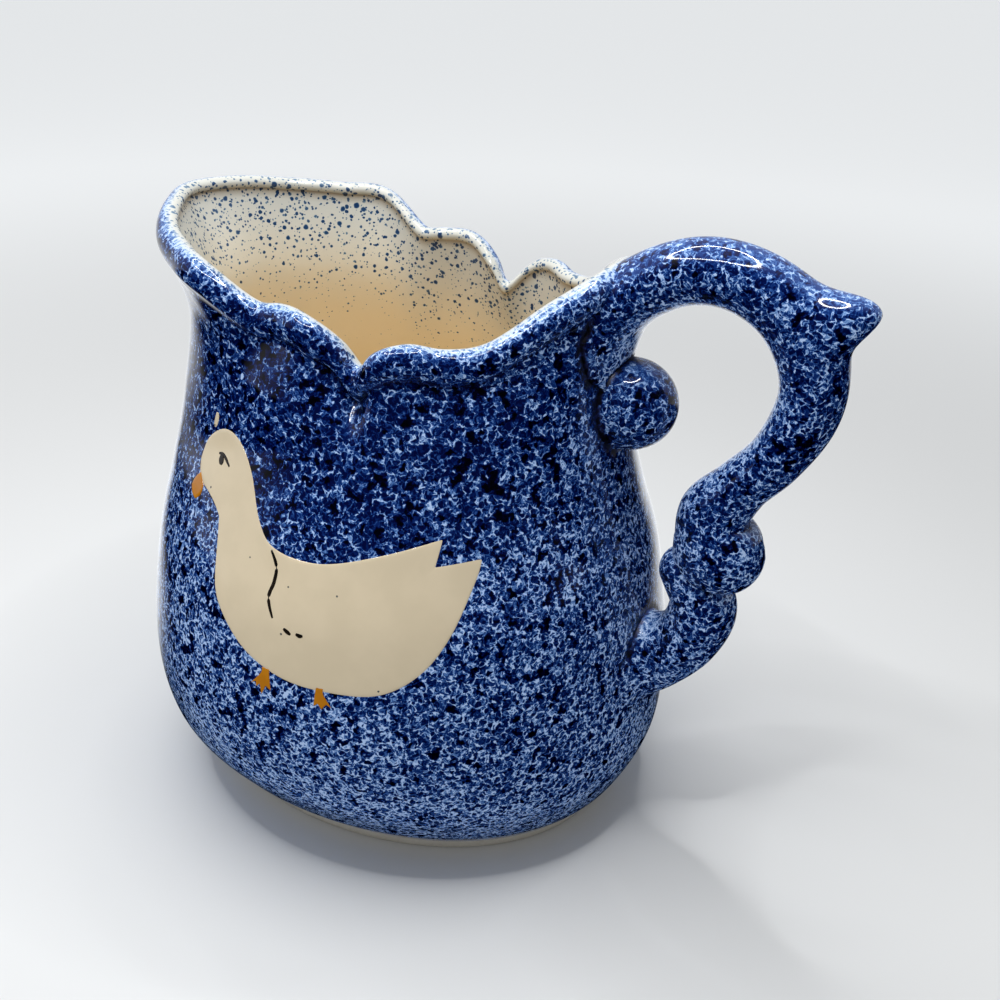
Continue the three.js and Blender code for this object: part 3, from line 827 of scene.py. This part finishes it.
# Cover of the inside: round specks that shrink with depth, the strongest at each place.
def speckCover(rippled, depth):
    fade = ease(depth, *inside["speckFade"])
    cover = 0
    for scale, radius in inside["specks"]:
        distance, chances = cells(rippled, scale)
        size = calc("MULTIPLY_ADD", chances[0], radius, fade)
        outer = calc("ADD", size, inside["speckOut"])
        inner = calc("SUBTRACT", size, inside["speckIn"])
        strength = calc("MULTIPLY_ADD", chances[0], *inside["speckStrength"])
        speck = calc("MULTIPLY", strength, ease(distance, outer, inner))
        cover = calc("MAXIMUM", cover, speck)
    return cover


# Ground under the cobalt: pale outside, inside a cream that deepens, with a brown painted shadow in the
# crease under the roll.
def glazeGround(mark, depth):
    # The cream's warmer, brighter depth is painted bounce light.
    cream = blendColour(ease(depth, *inside["cream"]), inside["creamHigh"], inside["creamDeep"])
    crease = calc("MULTIPLY", ease(depth, *inside["creaseStart"]), ease(depth, *inside["creaseEnd"]))
    crease = calc("MULTIPLY", crease, ease(mark, *inside["creaseMark"]))
    cream = blendColour(crease, cream, inside["creamCrease"])
    return blendColour(ease(mark, *inside["groundMark"]), sponge["pale"], cream)


# Sponged cobalt over a ground: the cover makes coats of cobalt, thinner on what faces up, which paints a
# paler sheen on tops, and each coat keeps a share of the ground's red, green and blue. Where the glaze
# pools it is duller.
def spongedGlaze():
    material, tree, shader, place = newMaterial("spongedGlaze", sponge["gloss"])
    keys = ("inside", "depth", "pool", "worn", "upturned")
    layers = [put("Attribute", tree=tree, attribute_name=key).outputs["Fac"] for key in keys]
    mark, depth, pool, worn, upturned = layers
    rippled = bent(place, place, *sponge["warp"])
    torn = bent(place, rippled, *sponge["tear"])
    patch = calc("MULTIPLY", noise(place, sponge["patchScale"]), 0.5)
    cloud = calc("MULTIPLY_ADD", noise(place, sponge["mottleScale"]), 0.5, patch)  # mean of the two
    along, _, height = put("SeparateXYZ", {0: place}).outputs
    thin = dabShrink(height, mark, worn)
    less = calc("SUBTRACT", thin, dabGrowth(place, along, height))
    swell = calc("SUBTRACT", ease(cloud, *sponge["cloud"]), less)
    within = ease(mark, *inside["speckMark"])
    dabs = dabCover(place, torn, swell, thin, pool)
    cover = calc("MULTIPLY", dabs, calc("SUBTRACT", 1, within))
    specks = calc("MULTIPLY", speckCover(rippled, depth), within)
    cover = calc("MULTIPLY_ADD", specks, inside["speckWeight"], cover)
    coats = calc("MULTIPLY", calc("SUBTRACT", cover, sponge["leastCover"]), sponge["coat"])
    # What faces up keeps fewer coats, a painted sheen on tops.
    coats = calc("MULTIPLY", calc("MAXIMUM", coats, 0), ease(upturned, *sponge["crest"]))
    bare = put("SeparateColor", {0: glazeGround(mark, depth)}).outputs
    left = {}
    for channel, kept in enumerate(sponge["kept"]):
        left[channel] = calc("MULTIPLY", bare[channel], calc("POWER", kept, coats))
    colour = put("CombineColor", left).outputs[0]
    colour = blendColour(ease(mark, *inside["underMark"]), colour, inside["creamDeep"])
    tree.links.new(colour, shader.inputs["Base Color"])
    dull = calc("MULTIPLY_ADD", pool, sponge["pooledDull"], sponge["gloss"])
    tree.links.new(calc("MINIMUM", dull, sponge["mostDull"]), shader.inputs["Roughness"])
    ripple(shader, place)
    return material


# Slips: the two colours of their clouds, and the share of the stray specks that shows.
slips = {
    "cream_slip": {"light": (0.7, 0.595, 0.425, 1), "dark": (0.665, 0.565, 0.4, 1), "specks": 0.3},
    "ochre_slip": {"light": (0.62, 0.25, 0.012, 1), "dark": (0.46, 0.17, 0.008, 1), "specks": 0},
    "black_slip": {"light": (0.014, 0.01, 0.007, 1), "dark": (0.005, 0.004, 0.003, 1), "specks": 0},
}
slipLook = {
    "roughness": 0.1,
    "clouds": (90, 3),  # scale and detail
    "cloudSpan": (0.35, 0.65),
    "speckScale": 300,
    "speckRadius": 0.14,
    "speckColour": (0.09, 0.1, 0.1, 1),
}


# Slip under the same clear glaze: a colour with faint clouds and a few stray specks.
def slipMaterial(slot, look):
    material, tree, shader, place = newMaterial(camelName(slot), slipLook["roughness"])
    cloud = ease(noise(place, *slipLook["clouds"]), *slipLook["cloudSpan"])
    colour = blendColour(cloud, look["light"], look["dark"])
    if look["specks"]:
        distance, chances = cells(place, slipLook["speckScale"])
        speck = calc("LESS_THAN", distance, calc("MULTIPLY", chances[1], slipLook["speckRadius"]))
        shown = calc("LESS_THAN", chances[0], look["specks"])
        colour = blendColour(calc("MULTIPLY", speck, shown), colour, slipLook["speckColour"])
    tree.links.new(colour, shader.inputs["Base Color"])
    ripple(shader, place)
    return material


clayLook = {
    "roughness": 0.75,
    "dark": (0.46, 0.43, 0.37, 1),
    "light": (0.6, 0.57, 0.5, 1),
    "grit": (900, 4, 0.6),  # scale, detail and roughness
    "bump": (0.25, 1400),  # strength and scale
}


# Bare fired clay: matt, with a fine grit. Its grey is the clay's own, but its colours are also darkened,
# painted shade on the foot in the belly's shadow.
def bareClay():
    material, tree, shader, place = newMaterial("bareClay", clayLook["roughness"])
    colour = blendColour(noise(place, *clayLook["grit"]), clayLook["dark"], clayLook["light"])
    tree.links.new(colour, shader.inputs["Base Color"])
    ripple(shader, place, *clayLook["bump"])
    return material


materials = {"sponged_glaze": spongedGlaze(), "bare_clay": bareClay()}
materials |= {slot: slipMaterial(slot, look) for slot, look in slips.items()}
print("materials made")

# Glaze pools in the crease between the wall and what stands on it, on both sides of the crease; the
# dark line there is partly painted shade.
creases = {
    "armWidth": 1.1,
    "wallWidth": 1.5,
    "contour": 0.4,  # how near the crease a point of its contour lies
    "margin": 2,  # how far beside the contour the wall is searched
    "rimClear": (7, 4),  # ramps by the depth under the crest, and by the height
    "lowClear": (60, 8),
    # The groove's dark line is partly painted shade.
    "groove": 8.6,  # millimetres under the crest, with the width and the share of a full pool
    "grooveWidth": 1.1,
    "grooveShare": 0.3,
    "outerMark": 0.5,  # vessel's marks below which a point is outside, or on the wall
    "wallMark": 0.1,
}


def pooledShade(distance, width):
    return np.clip(1 - np.abs(distance) / width, 0, 1)


# Neither pooling glaze nor painted crease shade on the roll of the rim, nor under the bracket, where the
# glaze runs off.
def underRim(points):
    angle = np.arctan2(points[..., 1], points[..., 0])
    down = rimCrest(angle)[1] - points[..., 2]
    return ramp(down, *creases["rimClear"]) * ramp(points[..., 2], *creases["lowClear"])


def nearestDistance(points, line):
    return np.linalg.norm(points[:, None] - line[None], axis=-1).min(1)


# Distance from the ball's face, by the share of its half axes at which a point lies.
def ballGap(points):
    x, y, z = np.moveaxis(points, -1, 0)
    share = np.hypot(np.hypot(x - ball["x"], z - ball["z"]) / ball["radius"], y / ball["halfWidth"])
    return (share - 1) * ball["halfWidth"]


# Pools on the vessel, dark lines of pooling glaze and painted shade: along the contours of the roots
# and, fainter, in the groove under the roll.
def vesselPoolShade(vessel, mark, depth, contour):
    pool = np.zeros(vessel.shape[:2])
    closeBy = vessel[..., 0] > contour[:, 0].min() - creases["margin"]
    closeBy &= np.abs(vessel[..., 1]) < np.abs(contour[:, 1]).max() + creases["margin"]
    closeBy &= mark < creases["outerMark"]
    nearest = nearestDistance(vessel[closeBy], contour)
    pool[closeBy] = pooledShade(nearest, creases["wallWidth"]) * underRim(vessel[closeBy])
    inGroove = creases["grooveShare"] * pooledShade(depth - creases["groove"], creases["grooveWidth"])
    return np.maximum(pool, np.where(mark < creases["wallMark"], inGroove, 0))


roots = []
armBar = barGrid(arm)
armOnWall, _ = rootOnWall(*armBar[:2], arm)
curl = armOnWall[np.abs(ballGap(armOnWall)) < creases["contour"]]  # where the arm leaves the ball
for node, values, (grid, centre, finger), name in (
    ("handle", arm, armBar, "handleArm"),
    ("lower_scroll", bracket, barGrid(bracket), None),
    ("upper_scroll", ball, ballGrid(), None),
):
    grown, gap = rootOnWall(grid, centre, values)
    roots.append(grown[np.abs(gap) < creases["contour"]])
    crease = pooledShade(gap, creases["armWidth"]) * underRim(grown)
    if node == "handle":
        crease = np.maximum(crease, pooledShade(ballGap(grown), creases["armWidth"]))
    if node == "upper_scroll":
        curlGap = nearestDistance(grown.reshape(-1, 3), curl).reshape(gap.shape)
        crease = np.maximum(crease, pooledShade(curlGap, creases["wallWidth"]))
    addPiece(node, "sponged_glaze", grown, {"pool": crease, "worn": finger}, name)

vessel, insideMark, rimDepth = vesselGrid()
pool = vesselPoolShade(vessel, insideMark, rimDepth, np.vstack(roots))
layers = {"inside": insideMark, "depth": rimDepth, "pool": pool}
addPiece("body", "sponged_glaze", vessel, layers, "pitcherBody")
addPiece("foot_ring", "bare_clay", footGrid())
print("clay pieces made")

addPiece("duck_silhouette", "cream_slip", duckGrid())
dropGrid = strokeGrid(duck["drop"], duck["dropWidth"], 0)
addPiece("duck_silhouette", "cream_slip", dropGrid, name="duckDrop")
addPiece("duck_bill", "ochre_slip", billGrid())
for node, foot in feet.items():
    addPiece(node, "ochre_slip", legGrid(foot))
for node, stroke in strokes.items():
    grid = strokeGrid(stroke["points"], stroke["width"], lifts=stroke["lifts"], count=brush["longRows"])
    addPiece(node, "black_slip", grid)
addPiece("duck_eye", "black_slip", strokeGrid(eye["lid"], eye["lidWidth"]))
eyeX, eyeUp = eye["centre"]
pupil = [(eyeX, eyeUp + eye["radius"]), (eyeX - eye["lean"], eyeUp), (eyeX, eyeUp - eye["radius"])]
pupilGrid = strokeGrid(pupil, eye["pupilWidth"] * eye["radius"], eye["pupilProud"], eye["pupilTip"])
addPiece("duck_eye", "black_slip", pupilGrid, name="duckPupil")
print("duck made")

# Light: a pale tent, brighter on one side, and a ring lamp under its roof. In the glaze the tent shows
# open, that is dark, towards the camera.
light = {
    "tent": (0.97, 0.98, 1, 1),
    "tentStrength": 0.38,
    "lean": 0.6,
    "leanWay": (-0.72, -0.55, 0.42),
    "shownStrength": 0.8,
    "openShare": 0.025,
    "openWay": (0.43, -0.9, -0.05),
    "openSpan": (-0.1, 0.55),
    "roof": (0.1, 0.8, 0.8, 1),  # the open tent brightens towards its roof
    "ringPlace": (-0.07, -0.05, 0.55),
    "ringRadius": 0.19,
    "ringWidth": 0.013,
    "ringPower": 0.155,
    "lamps": 20,
    "lampOverlap": 1.04,
}
# Floor: one wide pale sheet that runs far behind the pitcher. Its eases run by metres from the middle,
# sideways from the axis for the strip's edge, or towards the camera.
sheet = {
    "half": 6.0,
    "roughness": 0.9,
    "colour": (0.74, 0.75, 0.75, 1),
    "glowColour": (0.95, 0.98, 1, 1),
    "glow": (0.25, 0.85, 0, 0.46),
    "mirror": (0, -0.14, 0, 0.45),
    "acrossWay": (0.89, 0.45, 0),
    "stripEdge": (0.09, 0.18, 1, 0),
    "stripSpread": 0.4,  # growth of the strip's half width with each metre behind
    "stripStart": (-0.08, -0.02, 1, 0),
    "farStart": (-0.36, -0.22, 1, 0),
}


# In the glaze the sheet shows bright in a strip behind the pitcher that widens with distance, and
# everywhere far behind, so that the sheen keeps to the edges.
def sheetStrip(place, ahead):
    fromAxis = vectorCalc("SUBTRACT", place, (axisX, 0, 0))
    across = vectorCalc("DOT_PRODUCT", fromAxis, sheet["acrossWay"])
    back = calc("MAXIMUM", calc("MULTIPLY", ahead, -1), 0)
    beyond = calc("SUBTRACT", calc("ABSOLUTE", across), calc("MULTIPLY", back, sheet["stripSpread"]))
    strip = calc("MULTIPLY", ease(beyond, *sheet["stripEdge"]), ease(ahead, *sheet["stripStart"]))
    return calc("MAXIMUM", strip, ease(ahead, *sheet["farStart"]))


# Beyond the pitcher's own light the sheet shows as a pale backdrop to the camera and in the glaze.
def paleSheet():
    material, tree, shader, place = newMaterial("paleSheet", sheet["roughness"])
    shader.inputs["Base Color"].default_value = sheet["colour"]
    shader.inputs["Emission Color"].default_value = sheet["glowColour"]
    path = put("LightPath", tree=tree).outputs
    glossy = path["Is Glossy Ray"]
    backdrop = ease(vectorCalc("LENGTH", place), *sheet["glow"])
    glow = calc("MULTIPLY", backdrop, calc("MAXIMUM", path["Is Camera Ray"], glossy))
    ahead = vectorCalc("DOT_PRODUCT", place, light["openWay"])
    glow = calc("MAXIMUM", glow, calc("MULTIPLY", ease(ahead, *sheet["mirror"]), glossy))
    tree.links.new(glow, shader.inputs["Emission Strength"])
    dim = calc("MULTIPLY", calc("SUBTRACT", 1, sheetStrip(place, ahead)), glossy)
    shade = put("Emission", {"Color": (0, 0, 0, 1)}, tree).outputs[0]
    mixed = put("MixShader", {0: dim, 1: shader.outputs[0], 2: shade}).outputs[0]
    tree.links.new(mixed, tree.nodes["Material Output"].inputs["Surface"])
    return material


floorMesh = bpy.data.meshes.new("floor")
corners = [(x * sheet["half"], y * sheet["half"], 0) for x, y in ((-1, -1), (1, -1), (1, 1), (-1, 1))]
floorMesh.from_pydata(corners, [], [(0, 1, 2, 3)])
floorMesh.materials.append(paleSheet())
floor = bpy.data.objects.new("floor", floorMesh)
scene.collection.objects.link(floor)

# Camera at the photograph's place: position, right, up and forward from the pitcher's axis.
camera = {
    "place": (170.5428, -297.2563, 264.3585),
    "right": (0.89153970, 0.45088513, 0.04312266),
    "up": (-0.24133901, 0.39231123, 0.88760767),
    "forward": (-0.38329160, 0.80174466, -0.45857721),
    "lens": 46.8,
    "sensor": 36,
    "clipStart": 0.01,
}
cameraData = bpy.data.cameras.new("camera")
cameraData.lens = camera["lens"]
cameraData.sensor_width = camera["sensor"]
cameraData.sensor_fit = "HORIZONTAL"
cameraData.clip_start = camera["clipStart"]
cameraObject = bpy.data.objects.new("camera", cameraData)
columns = [camera["right"], camera["up"], -np.array(camera["forward"]), inFrame(camera["place"])]
cameraObject.matrix_world = Matrix([*np.stack(columns, -1).tolist(), (0, 0, 0, 1)])
scene.collection.objects.link(cameraObject)
scene.camera = cameraObject


# Tent: its own light on the pitcher, its open form in the glaze, and an even one to the camera.
def tentWorld():
    world = bpy.data.worlds.new("tent")
    world.use_nodes = True
    tree = world.node_tree
    way = put("TexCoord", tree=tree).outputs["Generated"]
    facing = vectorCalc("DOT_PRODUCT", way, light["openWay"])
    closed = ease(facing, *light["openSpan"], light["shownStrength"], light["openShare"])
    roof = ease(put("SeparateXYZ", {0: way}).outputs[2], *light["roof"])
    lean = vectorCalc("DOT_PRODUCT", way, light["leanWay"])
    lit = calc("MULTIPLY_ADD", lean, light["tentStrength"] * light["lean"], light["tentStrength"])
    path = put("LightPath", tree=tree).outputs
    mirrored = {0: path["Is Glossy Ray"], 2: lit, 3: calc("MULTIPLY", closed, roof)}
    strength = put("Mix", mirrored).outputs[0]
    shown = {0: path["Is Camera Ray"], 2: strength, 3: light["shownStrength"]}
    background = tree.nodes["Background"]
    background.inputs["Color"].default_value = light["tent"]
    tree.links.new(put("Mix", shown).outputs[0], background.inputs["Strength"])
    return world


scene.world = tentWorld()
for k in range(light["lamps"]):
    turn = 2 * np.pi * k / light["lamps"]
    lampData = bpy.data.lights.new(f"ringLamp{k}", "AREA")
    lampData.shape = "RECTANGLE"
    lampData.size = light["lampOverlap"] * 2 * np.pi * light["ringRadius"] / light["lamps"]
    lampData.size_y = light["ringWidth"]
    lampData.energy = light["ringPower"]
    lamp = bpy.data.objects.new(f"ringLamp{k}", lampData)
    outward = np.array([np.cos(turn), np.sin(turn), 0])
    lamp.location = np.array(light["ringPlace"]) + light["ringRadius"] * outward
    lamp.rotation_euler = (0, 0, turn + np.pi / 2)
    scene.collection.objects.link(lamp)
print("stage, camera and light made")
